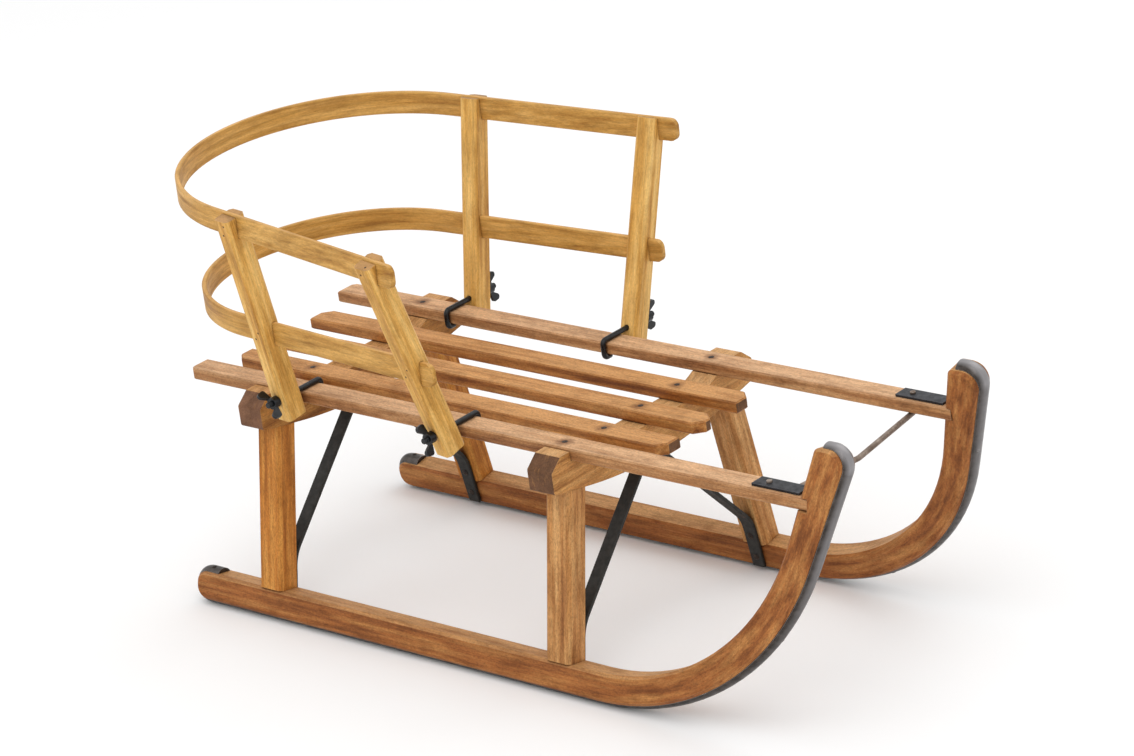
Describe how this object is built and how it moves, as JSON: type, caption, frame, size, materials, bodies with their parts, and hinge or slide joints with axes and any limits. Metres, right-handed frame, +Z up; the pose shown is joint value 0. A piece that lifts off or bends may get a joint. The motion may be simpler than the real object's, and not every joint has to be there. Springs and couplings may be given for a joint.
{
  "type": "wooden sled with child's backrest",
  "caption": "Slatted wooden child's sled with upturned steel-shod runners, leaning legs, iron stays, a bent pull bar and a clamp-on bentwood backrest of two hoops.",
  "frame": {"origin": "middle of the sled's length and width, on the ground under the runners", "axes": "+Z up, +X forward to the horns of the runners, +Y to the rider's left"},
  "size_m": [0.9347, 0.4852, 0.501],
  "materials": {
    "runner_beech": "satin",
    "leg_beech": "satin",
    "slat_beech": "satin",
    "yoke_beech": "satin",
    "backrest_ash": "satin",
    "worn_steel": "satin",
    "dark_iron_plate": "satin",
    "weathered_steel_rod": "satin",
    "black_iron": "satin"
  },
  "bodies": {
    "root": {"backrest_lower_hoop": "backrest_ash", "backrest_upper_hoop": "backrest_ash", "front_stay": "black_iron", "front_yoke": "yoke_beech", "hook_bolt_front_left": "black_iron", "hook_bolt_front_right": "black_iron", "hook_bolt_rear_left": "black_iron", "hook_bolt_rear_right": "black_iron", "horn_plate_left": "dark_iron_plate", "horn_plate_right": "dark_iron_plate", "leg_front_left": "leg_beech", "leg_front_right": "leg_beech", "leg_rear_left": "leg_beech", "leg_rear_right": "leg_beech", "pull_bar": "weathered_steel_rod", "rear_stay": "black_iron", "rear_yoke": "yoke_beech", "runner_left": "runner_beech", "runner_right": "runner_beech", "runner_shoe_left": "worn_steel", "runner_shoe_right": "worn_steel", "slat_inner_left": "slat_beech", "slat_inner_right": "slat_beech", "slat_middle": "slat_beech", "slat_outer_left": "slat_beech", "slat_outer_right": "slat_beech", "upright_front_left": "backrest_ash", "upright_front_right": "backrest_ash", "upright_rear_left": "backrest_ash", "upright_rear_right": "backrest_ash", "wing_nut_front_left": "black_iron", "wing_nut_front_right": "black_iron", "wing_nut_rear_left": "black_iron", "wing_nut_rear_right": "black_iron"}
  },
  "joints": []
}
